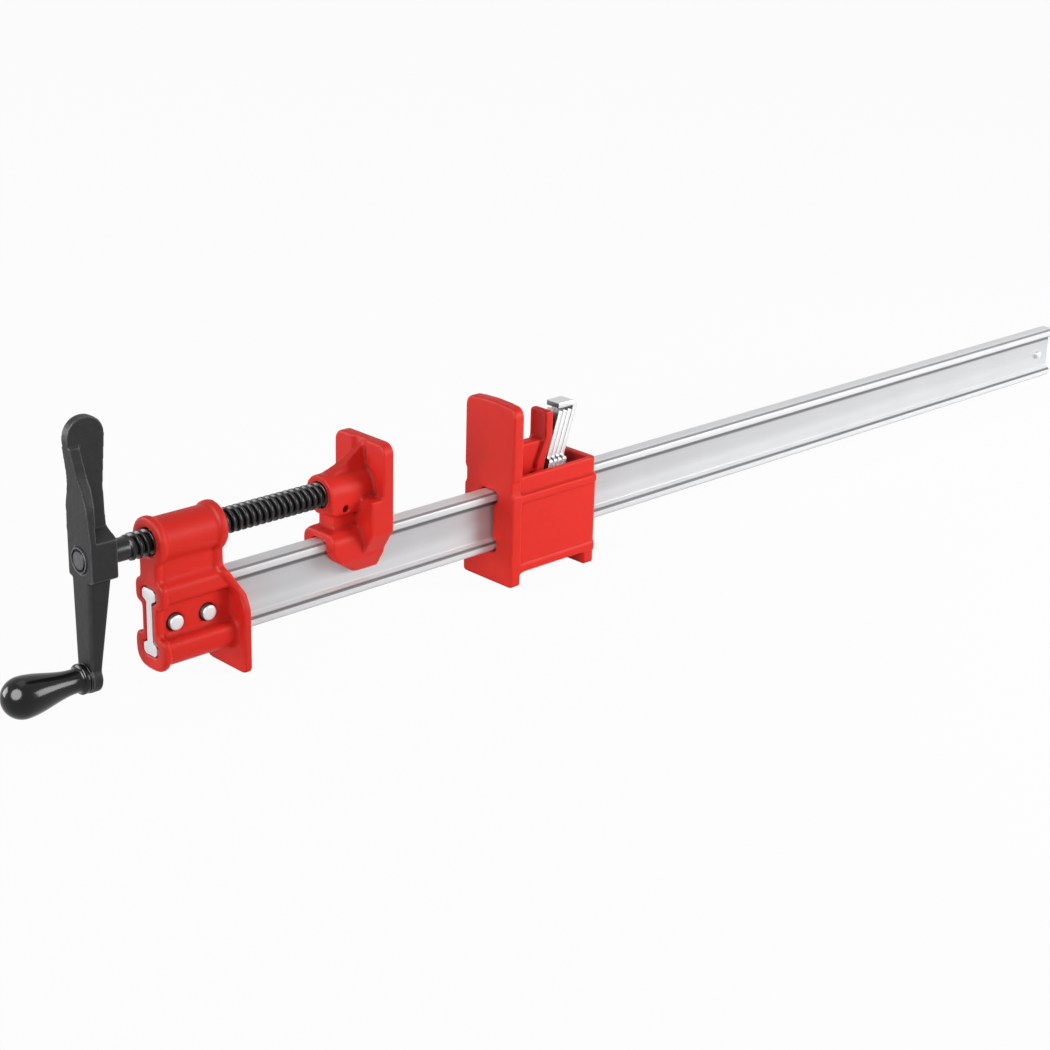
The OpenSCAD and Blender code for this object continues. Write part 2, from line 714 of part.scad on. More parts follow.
module moving_jaw() {
    bore_end = jaw_x - socket_wall;
    apex_z = rail_h + jaw_top - jaw_corner * 0.5;
    color(casting_red)
        difference() {
            union() {
                translate([0, 0, rail_z])
                    along_x(jaw_x - jaw_t, jaw_t)
                        jaw_front();
                translate([0, 0, rail_z])
                    intersection() {
                        along_x(jaw_x - jaw_block_len, jaw_block_len)
                            jaw_front();
                        translate([jaw_x, 0, 0])
                            across_y(2 * jaw_hw)
                                polygon([[-jaw_block_len, 0], [0, 0],
                                    [0, rail_h + jaw_block_top],
                                    [-jaw_block_len, rail_h + jaw_block_top]]);
                    }
                translate([0, 0, rail_z])
                    intersection() {
                        along_x(jaw_x - saddle_reach - over, saddle_reach + over)
                            saddle_section();
                        translate([jaw_x, 0, 0])
                            across_y(2 * jaw_hw)
                                saddle_side();
                    }
                rod_x(socket_x, socket_reach, socket_r, axis_z);
                translate([0, 0, rail_z])
                    along_x(jaw_x - jaw_t - pad_t, pad_t + over)
                        pad_outline();
                translate([jaw_x, 0, rail_z])
                    intersection() {
                        across_y(2 * gusset_t)
                            polygon(rounded([
                                [-socket_reach * 0.9, rail_h + axis_rise, 0],
                                [-over, rail_h + axis_rise, 0],
                                [-over, apex_z, 0],
                                [-jaw_t, apex_z, 0],
                                [-socket_reach * 0.62, rail_h + axis_rise + socket_r * 1.25, socket_r],
                                [-socket_reach * 0.9, rail_h + axis_rise + socket_r * 0.9, 0]]));
                        along_x(-socket_reach, socket_reach)
                            polygon([[-gusset_t * 0.6, rail_h], [gusset_t * 0.6, rail_h],
                                [gusset_t * 0.6, rail_h + axis_rise + socket_r * 0.6],
                                [gusset_t * 0.2, apex_z], [-gusset_t * 0.2, apex_z],
                                [-gusset_t * 0.6, rail_h + axis_rise + socket_r * 0.6]]);
                    }
            }
            translate([0, 0, rail_z])
                along_x(jaw_x - saddle_reach - 2 * over, saddle_reach + 4 * over) {
                    rail_section(rail_gap);
                    translate([-rail_web / 2 - rail_gap, -rail_h / 2])
                        square([rail_web + 2 * rail_gap, rail_h]);
                }
            rod_x(socket_x - over, bore_end - socket_x + over, thread_d / 2 + run_fit, axis_z);
            rod_y(jaw_pin_place, 2 * jaw_hw, jaw_pin_d / 2 + run_fit);
        }
}

module jaw_pin() {
    drop = axis_z - jaw_pin_place[2];
    color(zinc)
        rod_y(jaw_pin_place, 2 * sqrt(pow(socket_r, 2) - pow(drop, 2)) - jaw_pin_d * 0.6,
            jaw_pin_d / 2);
}

module thrust_disc() {
    color(zinc)
        rod_x(jaw_x - socket_wall - disc_t, disc_t, thread_d / 2, axis_z);
}

// Front plate of the sliding head, with a shallow notch in each side
module stop_outline() {
    notch = rim_setback;
    polygon(rounded(both_sides([
        [jaw_hw, -foot_drop, jaw_corner * 0.3],
        [jaw_hw, rail_h, notch],
        [jaw_hw - notch, rail_h + notch, 0],
        [jaw_hw - notch, rail_h + rim_top - notch, 0],
        [jaw_hw, rail_h + rim_top, notch],
        [jaw_hw, rail_h + stop_top - jaw_corner * 0.2, jaw_corner],
        [jaw_corner * 0.4, rail_h + stop_top, 0]])));
}

// Plan of the sliding head's shell at a given half width, with rounded rear corners
module shell_plan(half, z, height) {
    translate([stop_x, 0, z])
        linear_extrude(height)
            polygon(rounded([
                [0, -half, 0],
                [slide_len, -half, wall_t * 0.6],
                [slide_len, half, wall_t * 0.6],
                [0, half, 0]]));
}

// Side view of the web between front plate and lug, with the finger notch's floor
module lug_web_side() {
    dip = stop_t * 0.7;
    polygon(rounded([
        [0, rail_h + 2 * rail_gap, 0],
        [lug_reach - lug_t * 1.5, rail_h + 2 * rail_gap, 0],
        [lug_reach - lug_t * 1.5, rail_h + rim_top, 0],
        [lug_reach - lug_t / 2, rail_h + notch_floor, 0],
        [lug_reach - lug_t / 2, rail_h + notch_floor + 2 * dip, 0],
        [lug_reach - lug_t, rail_h + notch_floor + 2 * dip, 0],
        [lug_reach - lug_t, rail_h + notch_floor, dip],
        [stop_t, rail_h + notch_floor, dip],
        [stop_t, rail_h + notch_floor + 2 * dip, 0],
        [0, rail_h + notch_floor + 2 * dip, 0]]));
}

// Side view of the thumb lug, which leans back above the pocket
module lug_side() {
    polygon(rounded([
        [lug_reach - lug_t * 2.1, rail_h + 2 * rail_gap, 0],
        [lug_reach - lug_t * 1.2, rail_h + 2 * rail_gap, 0],
        [lug_reach - lug_t, rail_h + rim_top, lug_t],
        [lug_reach, rail_h + notch_floor, lug_t * 2],
        [lug_reach, rail_h + lug_top, lug_t * 0.3],
        [lug_reach - lug_t, rail_h + lug_top, lug_t * 0.3],
        [lug_reach - lug_t, rail_h + notch_floor, lug_t * 2],
        [lug_reach - lug_t * 2.1, rail_h + rim_top, lug_t]]));
}

// A fillet in the angle between a foot's upright face and the panels' lower edge
module foot_fillet(x, r) {
    translate([x, 0, rail_z - skirt_down])
        across_y(2 * panel_hw)
            difference() {
                translate([-over, -r])
                    square([r + over, r + over]);
                translate([r, -r])
                    circle(r = r, $fn = round_fn);
            }
}

module sliding_head() {
    band_hw = panel_hw + band_proud;
    inner_hw = panel_hw - wall_t;
    skirt_z = rail_z - skirt_down;
    panel_top = rail_top;
    upper_band = band_h * 0.9;
    color(casting_red)
        difference() {
            union() {
                translate([0, 0, rail_z])
                    along_x(stop_x, stop_t)
                        stop_outline();
                difference() {
                    union() {
                        shell_plan(panel_hw, skirt_z, rail_h + skirt_down);
                        shell_plan(panel_hw - rim_setback, skirt_z, rail_h + skirt_down + rim_top);
                        shell_plan(band_hw, skirt_z, band_h);
                        shell_plan(band_hw, panel_top - upper_band, upper_band);
                    }
                    translate([stop_x + stop_t, -inner_hw, skirt_z - over])
                        cube([slide_len - stop_t - rear_t, 2 * inner_hw,
                            skirt_down + rail_h + rim_top + 2 * over]);
                }
                intersection() {
                    shell_plan(panel_hw, 0, rail_z);
                    translate([stop_x + slide_len - 1.8 * rear_t, -jaw_hw, 0])
                        cube([1.8 * rear_t, 2 * jaw_hw, skirt_z + over]);
                }
                foot_fillet(stop_x + stop_t, arch_fillet);
                translate([2 * stop_x + 2 * slide_len - 3.6 * rear_t, 0, 0])
                    mirror([1, 0, 0])
                        foot_fillet(stop_x + slide_len - 1.8 * rear_t, arch_fillet * 0.7);
                translate([stop_x, 0, rail_z]) {
                    across_y(2 * lug_web_hw)
                        lug_web_side();
                    across_y(2 * lug_hw)
                        lug_side();
                }
                translate([stop_x + lug_reach - 2.4 * lug_t, -inner_hw - over, rail_top + 2 * rail_gap])
                    cube([lug_t, 2 * inner_hw + 2 * over, rim_top * 0.6]);
            }
            for (side = [-1, 1])
                translate([0, side * rail_gap * 1.4, rail_z])
                    along_x(stop_x - over, slide_len + 2 * over)
                        rail_section(rail_gap);
            translate([stop_x + lug_reach - lug_t - lug_hw * 1.6, 0, rail_top + notch_floor])
                cylinder(h = lug_top, r = lug_hw * 1.8, $fn = round_fn);
        }
}

// Front view of a plate in its own plane, measured from its pivot, with the window for the rail
module plate_outline(tab) {
    grip = grip_gap + plate_t / 2 * sin(plate_lean);
    window_top = (pivot_rise - grip) / cos(plate_lean);
    window_end = (pivot_rise + rail_h + grip) / cos(plate_lean);
    window_hw = rail_w / 2 + 2 * rail_gap;
    difference() {
        polygon(rounded(both_sides([
            [plate_hw, -window_end - plate_bar, plate_t],
            [plate_hw, -plate_t, plate_t * 0.6],
            [shoulder_hw, -plate_t, 0],
            [shoulder_hw, plate_t * 0.6, plate_t * 0.5],
            [tab_hw, plate_t * 0.6, plate_t * 0.3],
            [tab_hw, tab, plate_t * 0.2]])));
        translate([-window_hw, -window_end])
            square([2 * window_hw, window_end - window_top]);
    }
}

module clutch_place(i) {
    translate([clutch_x + i * plate_pitch, 0, clutch_z])
        rotate([0, plate_lean, 0])
            children();
}

module clutch_plate(i) {
    color(plate_zinc)
        clutch_place(i)
            along_x(-plate_t / 2, plate_t)
                plate_outline(tab_len);
}

module clutch_plate_1() {
    clutch_plate(0);
}

module clutch_plate_2() {
    clutch_plate(1);
}

module clutch_plate_3() {
    clutch_plate(2);
}

// The rear plate is longer, and its end is folded level over the others as the release tab
module clutch_plate_4() {
    last = plate_count - 1;
    tab_z = clutch_z + tab_len * cos(plate_lean) + plate_t / 2 * sin(plate_lean);
    fold_z = tab_z + fold_gap;
    top_z = fold_z + plate_t;
    last_x = clutch_x + last * plate_pitch;
    half = plate_t / 2 / cos(plate_lean);
    end_z = -foot_drop;
    nose_x = clutch_x + (fold_z - clutch_z) * tan(plate_lean) - plate_t / 2 - fold_nose;
    function face_x(z, offset) = last_x + (z - clutch_z) * tan(plate_lean) + offset;
    color(plate_zinc)
        intersection() {
            across_y(2 * plate_hw + over)
                polygon(rounded([
                    [face_x(end_z, -half), end_z, 0],
                    [face_x(end_z, half), end_z, 0],
                    [face_x(top_z, half), top_z, plate_t * 1.2],
                    [nose_x, top_z, plate_t * 0.15],
                    [nose_x, fold_z, plate_t * 0.15],
                    [face_x(fold_z, -half), fold_z, plate_t * 0.25]]));
            clutch_place(last)
                along_x(-tab_len, 2 * tab_len)
                    plate_outline(2 * tab_len);
        }
}

// Coil spring between the rear wall and the last plate's bar, one unbroken wire with closed ends
module clutch_spring() {
    sides = 6;
    rings = 12;
    dead = 1;
    mean_r = (spring_d - wire_d) / 2;
    bar_z = rail_z - plate_bar / 2;
    last_x = clutch_x + (plate_count - 1) * plate_pitch;
    start_x = last_x - (clutch_z - bar_z) * tan(plate_lean) + plate_t / 2 / cos(plate_lean)
        + spring_d / 2 * tan(plate_lean) + wire_d / 2 + 3 * run_fit;
    end_x = stop_x + slide_len - rear_t - wire_d / 2 - 3 * run_fit;
    turns = spring_turns + 2 * dead;
    last_ring = turns * rings;
    rise = end_x - start_x - 2 * dead * (wire_d + 2 * run_fit);
    function advance(t) = t < dead ? t * (wire_d + 2 * run_fit)
        : t > turns - dead ? end_x - start_x - (turns - t) * (wire_d + 2 * run_fit)
        : dead * (wire_d + 2 * run_fit) + (t - dead) * rise / spring_turns;
    function wire_ring(i) = let(t = i / rings, a = 360 * t)
        [for (k = [0:sides - 1]) let(b = 360 * k / sides)
            let(r = mean_r + wire_d / 2 * cos(b))
            [start_x + advance(t) + wire_d / 2 * sin(b), r * cos(a), bar_z + r * sin(a)]];
    points = [for (i = [0:last_ring]) each wire_ring(i)];
    skin = [for (i = [0:last_ring - 1], k = [0:sides - 1])
        let(a = i * sides + k, b = i * sides + (k + 1) % sides)
        each [[a, b, b + sides], [a, b + sides, a + sides]]];
    ends = [[for (k = [0:sides - 1]) sides - 1 - k], [for (k = [0:sides - 1]) last_ring * sides + k]];
    echo(coil_gap = rise / spring_turns - wire_d, end_gap = 2 * run_fit, start = start_x, end = end_x);
    color(zinc)
        polyhedron(points = points, faces = concat(skin, ends));
}

rail();
rail_stop_pin();
fixed_head();
head_pin_front();
head_pin_rear();
spindle();
crank_arm();
crank_pin();
crank_knob();
knob_axle();
knob_washer();
moving_jaw();
jaw_pin();
thrust_disc();
sliding_head();
clutch_plate_1();
clutch_plate_2();
clutch_plate_3();
clutch_plate_4();
clutch_spring();
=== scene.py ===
import json
import math

import bmesh
import bpy
from bpy.props import FloatProperty, FloatVectorProperty, IntProperty, PointerProperty
from mathutils import Matrix, Vector

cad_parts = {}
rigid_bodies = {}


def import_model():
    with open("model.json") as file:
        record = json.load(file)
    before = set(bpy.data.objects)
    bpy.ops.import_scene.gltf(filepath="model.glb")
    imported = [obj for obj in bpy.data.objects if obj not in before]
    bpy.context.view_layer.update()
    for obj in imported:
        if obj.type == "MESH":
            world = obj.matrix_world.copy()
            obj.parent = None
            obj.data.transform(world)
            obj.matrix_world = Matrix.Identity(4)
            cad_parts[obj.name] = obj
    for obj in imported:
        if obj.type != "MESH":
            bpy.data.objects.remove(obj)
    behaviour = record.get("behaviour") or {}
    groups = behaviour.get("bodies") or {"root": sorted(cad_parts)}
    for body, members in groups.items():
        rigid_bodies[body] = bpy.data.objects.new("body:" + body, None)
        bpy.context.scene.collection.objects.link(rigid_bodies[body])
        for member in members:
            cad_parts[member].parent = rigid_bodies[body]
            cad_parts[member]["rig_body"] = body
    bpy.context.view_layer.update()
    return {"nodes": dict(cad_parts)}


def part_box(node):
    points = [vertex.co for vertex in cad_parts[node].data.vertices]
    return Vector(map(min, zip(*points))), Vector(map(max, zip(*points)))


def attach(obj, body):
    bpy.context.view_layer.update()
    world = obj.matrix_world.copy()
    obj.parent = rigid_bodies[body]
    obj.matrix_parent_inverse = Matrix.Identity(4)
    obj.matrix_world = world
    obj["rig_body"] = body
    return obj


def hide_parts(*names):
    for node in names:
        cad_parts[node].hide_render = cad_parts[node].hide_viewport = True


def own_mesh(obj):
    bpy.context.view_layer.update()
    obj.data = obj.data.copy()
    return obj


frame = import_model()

bl_info = {
    "name": "Door Clamp",
    "version": (1, 0, 0),
    "blender": (4, 5, 0),
    "location": "View3D > Sidebar > Clamp",
    "description": "Dresses the packed door clamp with cast, turned and rolled pieces",
    "category": "Object",
}

MM = 0.001
X_AXIS = Vector((1, 0, 0))
Y_AXIS = Vector((0, 1, 0))
# Points nearer than these are one point; the finer one is for cuts, turned shapes and the spring
WELD = 0.002 * MM
FINE_WELD = 0.001 * MM
HEAD_PINS = ("head_pin_front", "head_pin_rear")


def srgb(red, green, blue):
    """A colour as a picture shows it, from 0 to 255, in the linear values that shaders use."""
    def channel(value):
        share = value / 255
        return share / 12.92 if share <= 0.04045 else ((share + 0.055) / 1.055) ** 2.4
    return tuple(channel(value) for value in (red, green, blue))


# ---------------------------------------------------------------------------
# Sizes and colours that a user would change
# ---------------------------------------------------------------------------

def colour(name, description, default):
    return FloatVectorProperty(name=name, description=description, subtype="COLOR", size=3,
                               min=0, max=1, default=default)


def distance(name, description, default):
    return FloatProperty(name=name, description=description, subtype="DISTANCE", unit="LENGTH",
                         min=0, precision=5, default=default)


def passes(name, description, default):
    return IntProperty(name=name, description=description, min=0, max=60, default=default)


def power(name, description, default):
    return FloatProperty(name=name, description=description, unit="POWER", min=0, default=default)


class CastingSizes(bpy.types.PropertyGroup):
    grain: distance("Casting grain", "Edge of one cell of a cast skin", 0.65 * MM)
    crank_grain: distance("Crank grain", "Edge of one cell of the crank's skin", 0.45 * MM)
    head_softness: passes("Fixed head softness", "Smoothing passes over the fixed head", 16)
    jaw_softness: passes("Jaw softness", "Smoothing passes over the moving jaw", 5)
    slide_softness: passes("Sliding head softness", "Smoothing passes over the sliding head", 7)
    crank_softness: passes("Crank softness", "Smoothing passes over the crank", 7)


class TurnedSizes(bpy.types.PropertyGroup):
    lead: distance("Thread lead", "Advance of the screw in one turn", 4 * MM)
    thread_depth: distance("Thread depth", "Depth of the trapezoidal thread", 2.1 * MM)
    run_out: distance("Thread run-out", "Length over which the thread fades into the neck",
                      3.5 * MM)
    pin_dome: distance("Pin dome", "Rise of a head pin's domed end", 0.4 * MM)
    wire: distance("Spring wire", "Wire diameter of the clutch spring", 1 * MM)


class SheetSizes(bpy.types.PropertyGroup):
    rail_edge: distance("Rail edge", "Rounding of the rail's rolled edges", 0.45 * MM)
    plate_edge: distance("Plate edge", "Rounding of a clutch plate's edges", 0.3 * MM)
    small_edge: distance("Small edge", "Rounding of pins, washers and discs", 0.25 * MM)
    peened: distance("Peened rim", "How far a head pin's end is spread by peening", 0.45 * MM)


class Colours(bpy.types.PropertyGroup):
    casting: colour("Casting paint", "Enamel on heads and jaw", srgb(227, 41, 29))
    crank: colour("Crank paint", "Powder coat on the crank", srgb(14, 14, 15))
    screw: colour("Screw black", "Blackened steel of the spindle", srgb(10, 10, 11))
    knob: colour("Knob plastic", "Moulded plastic of the knob", srgb(5, 5, 6))
    rail: colour("Rail steel", "Bright zinc on the rail", srgb(224, 225, 227))
    plate: colour("Plate zinc", "Bright zinc on the clutch plates", srgb(220, 221, 222))


class StageLook(bpy.types.PropertyGroup):
    key: power("Key lamp", "Power of the low lamp in front", 12.1)
    side: power("Side lamp", "Power of the lamp beside the crank", 8)
    fill: power("Fill lamp", "Power of the lamp before the crank", 6.3)
    catch: power("Catch panel", "Power of the round panel that only gloss shows", 85)
    sheen: power("Sheen panel", "Power of the panel beside the crank that only gloss shows", 22)
    top: power("Top lamp", "Power of the lamp above", 4.2)
    sky: FloatProperty(name="Sky", description="Strength of the room's even light", min=0,
                       default=0.22)
    floor_white: FloatProperty(name="Floor white",
                               description="Share of even white in the floor's look",
                               subtype="FACTOR", min=0, max=1, default=0.955)


# ---------------------------------------------------------------------------
# Shader maths
# ---------------------------------------------------------------------------

class Field:
    """A value that varies over a surface; arithmetic on it adds Math nodes to its finish."""

    def __init__(self, finish, socket):
        self.finish = finish
        self.socket = socket

    def _math(self, operation, first, second):
        return self.finish.add("ShaderNodeMath", {"operation": operation}, {0: first, 1: second})[0]

    def __add__(self, other):
        return self._math("ADD", self, other)

    __radd__ = __add__

    def __sub__(self, other):
        return self._math("SUBTRACT", self, other)

    def __rsub__(self, other):
        return self._math("SUBTRACT", other, self)

    def __mul__(self, other):
        return self._math("MULTIPLY", self, other)

    __rmul__ = __mul__

    def limited(self):
        return self.finish.add("ShaderNodeClamp", None, {0: self})[0]


class Node:
    """A node whose outputs are read by name or number as fields."""

    def __init__(self, finish, node):
        self.finish = finish
        self.node = node

    def __getitem__(self, key):
        return Field(self.finish, self.node.outputs[key])


class Finish:
    """A procedural material in the making, on object coordinates."""

    def __init__(self, name=None, tree=None):
        if tree is None:
            self.material = bpy.data.materials.new(name)
            self.material.use_nodes = True
            tree = self.material.node_tree
        self.tree = tree
        self.tree.nodes.clear()

    def add(self, kind, settings=None, sockets=None):
        node = self.tree.nodes.new(kind)
        for key, value in (settings or {}).items():
            if key == "stops":
                self._stops(node.color_ramp, value)
            else:
                setattr(node, key, value)
        for key, value in (sockets or {}).items():
            if isinstance(value, Field):
                self.tree.links.new(value.socket, node.inputs[key])
            else:
                node.inputs[key].default_value = value
        return Node(self, node)

    def _stops(self, ramp, stops):
        while len(ramp.elements) < len(stops):
            ramp.elements.new(0.5)
        for element, (position, value) in zip(ramp.elements, stops):
            element.position = position
            element.color = (value, value, value, 1)

    def place(self, stretch=(1, 1, 1)):
        point = self.add("ShaderNodeTexCoord")["Object"]
        return self.add("ShaderNodeMapping", None, {"Vector": point, "Scale": stretch})["Vector"]

    def place_split(self, axis):
        point = self.add("ShaderNodeTexCoord")["Object"]
        return self.add("ShaderNodeSeparateXYZ", None, {0: point})[axis]

    def normal_split(self, axis):
        facing = self.add("ShaderNodeNewGeometry")["Normal"]
        return self.add("ShaderNodeSeparateXYZ", None, {0: facing})[axis]

    def noise(self, scale, detail=3.0, rough=0.5, stretch=(1, 1, 1)):
        """Noise with features of about 1/scale metres, from 0 to 1 about a mean of a half."""
        return self.add("ShaderNodeTexNoise", None, {
            "Vector": self.place(stretch), "Scale": scale, "Detail": detail, "Roughness": rough})[0]

    def ramp(self, value, *stops):
        return self.add("ShaderNodeValToRGB", {"stops": stops}, {0: value})[0]

    def blend(self, share, first, second):
        """Colour that goes from first to second as share goes from 0 to 1."""
        def full(value):
            return value if isinstance(value, Field) else (*value, 1)
        return self.add("ShaderNodeMix", {"data_type": "RGBA"},
                        {0: share, 6: full(first), 7: full(second)})[2]

    def edges(self):
        """Raised edges near 1, hollows near 0, flat faces a half."""
        return self.add("ShaderNodeNewGeometry")["Pointiness"]

    def openness(self, reach):
        """Near 1 in the open, near 0 deep in a corner, judged over a reach in metres."""
        return self.add("ShaderNodeAmbientOcclusion", {"samples": 8}, {"Distance": reach})["AO"]

    def bump(self, height, strength, depth, normal=None):
        sockets = {"Strength": strength, "Distance": depth, "Height": height}
        if normal is not None:
            sockets["Normal"] = normal
        return self.add("ShaderNodeBump", None, sockets)["Normal"]

    def close(self, sockets):
        shader = self.add("ShaderNodeBsdfPrincipled", None, sockets)["BSDF"]
        self.add("ShaderNodeOutputMaterial", None, {"Surface": shader})
        return self.material


def shade(tint, factor):
    return tuple(min(1.0, channel * factor) for channel in tint)


# Painted shadow ring round a head pin, where its seat's shadow falls: its radius, and how far it
# lies above the pin and towards the crank
PIN_SHADOW_RADIUS = 5 * MM
PIN_SHADOW_SHIFT = 0.3 * MM
# Reach over which painted shade darkens the castings' paint into a corner
CORNER_REACH = 7 * MM
BLACK = (0.0, 0.0, 0.0)
# Stretch of the drawn lines: none, or along Z
EVEN = (1, 1, 1)
UPRIGHT = (1, 1, 0.05)


def pin_shadow_rings(paint):
    """Near 1 in the painted shadow ring that each head pin's seat would cast round the pin."""
    across, height = paint.place_split("X"), paint.place_split("Z")
    rings = 0
    for node in HEAD_PINS:
        low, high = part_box(node)
        along = across - ((low.x + high.x) / 2 - PIN_SHADOW_SHIFT)
        above = height - ((low.z + high.z) / 2 + PIN_SHADOW_SHIFT)
        span = (along * along + above * above) * (1 / PIN_SHADOW_RADIUS ** 2)
        rings = rings + paint.ramp(span, (0.9, 1.0), (1.0, 0.0))
    return rings


def casting_paint(tint):
    """Enamel over a sand-cast skin: soft orange peel, painted highlights on crowns, painted shade
    in creases and corners, and painted shadow rings round the head pins; creases are also duller.
    """
    paint = Finish("casting_enamel")
    broad = paint.noise(34, 2)
    grain = paint.noise(620, 4, 0.6)
    peel = paint.noise(260, 2)
    # Painted shade in creases and painted highlight on crowns, from how the surface bends
    crease_shade = paint.ramp(paint.edges(), (0.455, 0.0), (0.494, 1.0))
    crown_highlight = paint.ramp(paint.edges(), (0.505, 0.0), (0.56, 1.0))
    # Painted shade deep in corners, from how open the surface is
    depth = paint.ramp(paint.openness(CORNER_REACH), (0.15, 0.0), (0.6, 1.0))
    body = paint.blend(0.5 * broad + 0.5 * peel, shade(tint, 0.9), shade(tint, 1.09))
    highlighted = paint.blend(0.4 * crown_highlight, body, shade(tint, 1.3))
    crease_shaded = paint.blend(0.25 + 0.75 * crease_shade, shade(tint, 0.3), highlighted)
    corner_shaded = paint.blend(0.35 + 0.65 * depth, shade(tint, 0.3), crease_shaded)
    # Painted shadow: near black in the ring round each head pin
    base = paint.blend(pin_shadow_rings(paint), corner_shaded, shade(tint, 0.04))
    rough = 0.4 + 0.12 * paint.noise(90, 3) + 0.05 * grain + 0.45 * (1 - crease_shade) + 0.2 * (1 - depth)
    peeled = paint.bump(peel, 0.2, 0.5 * MM)
    skin = paint.bump(grain, 0.18, 0.2 * MM, peeled)
    return paint.close({"Base Color": base, "Roughness": rough, "Normal": skin,
                        "Specular IOR Level": 0.18})


def crank_paint(tint):
    """Black powder coat: fine pebbled satin, a patchy painted highlight on raised edges, and
    painted shade in hollows, which go dead black with their gloss put out.
    """
    coat = Finish("crank_powder_coat")
    pebble = coat.noise(900, 4, 0.62)
    # Painted highlight: raised edges are lightened, in patches
    wear_and_highlight = coat.ramp(coat.edges(), (0.508, 0.0), (0.55, 1.0)) * (0.3 + coat.noise(150, 3))
    # Painted shade: hollows go dead black, and Metallic there puts out their gloss
    hollow_shade = 1 - coat.ramp(coat.edges(), (0.45, 0.0), (0.492, 1.0))
    edge_highlit = coat.blend(wear_and_highlight.limited(), shade(tint, 0.9), shade(tint, 26.0))
    base = coat.blend(hollow_shade, edge_highlit, BLACK)
    rough = 0.42 + 0.14 * coat.noise(70, 3) - 0.1 * wear_and_highlight
    pebbled = coat.bump(coat.noise(190, 3), 0.4, 0.7 * MM)
    skin = coat.bump(pebble, 0.22, 0.2 * MM, pebbled)
    return coat.close({"Base Color": base, "Roughness": rough, "Normal": skin,
                       "Metallic": 0.9 * hollow_shade, "Specular IOR Level": 0.3})


def screw_black(tint):
    """Oiled black oxide on cut steel: turning lines and brighter, rubbed crests."""
    oxide = Finish("screw_black_oxide")
    lines = oxide.noise(2600, 2, 0.5, (1, 0.05, 0.05))
    wear_and_highlight = oxide.ramp(oxide.edges(), (0.5, 0.0), (0.62, 1.0)) * oxide.noise(300, 3)
    base = oxide.blend(wear_and_highlight.limited(), tint, shade(tint, 5))
    rough = 0.2 + 0.12 * lines + 0.06 * oxide.noise(120, 2)
    skin = oxide.bump(lines, 0.12, 0.05 * MM)
    return oxide.close({"Base Color": base, "Roughness": rough, "Normal": skin,
                        "Specular IOR Level": 0.36})


def knob_plastic(tint):
    """Polished black moulding with faint flow marks and handling haze."""
    moulding = Finish("knob_plastic")
    haze = moulding.noise(60, 4, 0.6)
    base = moulding.blend(haze, tint, shade(tint, 1.5))
    rough = 0.1 + 0.1 * haze
    skin = moulding.bump(moulding.noise(180, 2), 0.05, 0.2 * MM)
    return moulding.close({"Base Color": base, "Roughness": rough, "Normal": skin,
                           "Specular IOR Level": 0.3})


def zinc_ground(zinc, tint, stretch):
    """What all zinc shares: drawn lines along the grain, clouds, clouded colour and the bump."""
    drawn = zinc.noise(900, 3, 0.6, stretch)
    cloud = zinc.noise(28, 4, 0.55)
    clear = zinc.blend(cloud, shade(tint, 0.93), shade(tint, 1.03))
    return drawn, cloud, clear, zinc.bump(drawn, 0.12, 0.06 * MM)


def bright_zinc(name, tint, stretch, metal, rough, dark, shaded_axis=None, shade_band=(0.3, 0.7)):
    """Bright zinc on cut or turned steel, with painted shade in hollows and on the faces that one
    axis picks out.

    With shaded_axis "X" the faces square to X get painted shade, and with "Y" the faces not square
    to Y do.
    shade_band holds the squares of the normal's part along that axis where the change lies."""
    zinc = Finish(name)
    drawn, cloud, clear, skin = zinc_ground(zinc, tint, stretch)
    # Painted shade: the zinc darkens in hollows
    hollow_shade = zinc.ramp(zinc.edges(), (0.42, 0.0), (0.5, 1.0))
    lined = zinc.blend(0.12 * drawn, clear, shade(tint, dark))
    base = zinc.blend(hollow_shade, shade(tint, dark), lined)
    # Painted shade on faces, by how they face along shaded_axis
    if shaded_axis:
        facing = zinc.normal_split(shaded_axis)
        face_shade = zinc.ramp(facing * facing, (shade_band[0], 0.0), (shade_band[1], 1.0))
        if shaded_axis == "Y":
            face_shade = 1 - face_shade
        base = zinc.blend(face_shade, base, shade(tint, 0.16))
    roughness = rough + 0.1 * drawn + 0.06 * cloud
    return zinc.close({"Base Color": base, "Roughness": roughness, "Normal": skin,
                       "Metallic": metal})


# Heights over the rail's underside where its painted shade and painted reflection bands change, as
# (share of the height, shade level)
RAIL_SHADE_BANDS = (
    (0.0, 0.7), (0.035, 0.95), (0.118, 1.0), (0.132, 0.12), (0.158, 0.12), (0.172, 1.0),
    (0.2, 0.95), (0.23, 0.78), (0.6, 0.74), (0.745, 0.71), (0.768, 0.14), (0.8, 0.1),
    (0.852, 0.14), (0.868, 0.9), (0.94, 1.0), (0.956, 0.9), (0.966, 0.2), (0.985, 0.25),
    (0.998, 1.0))


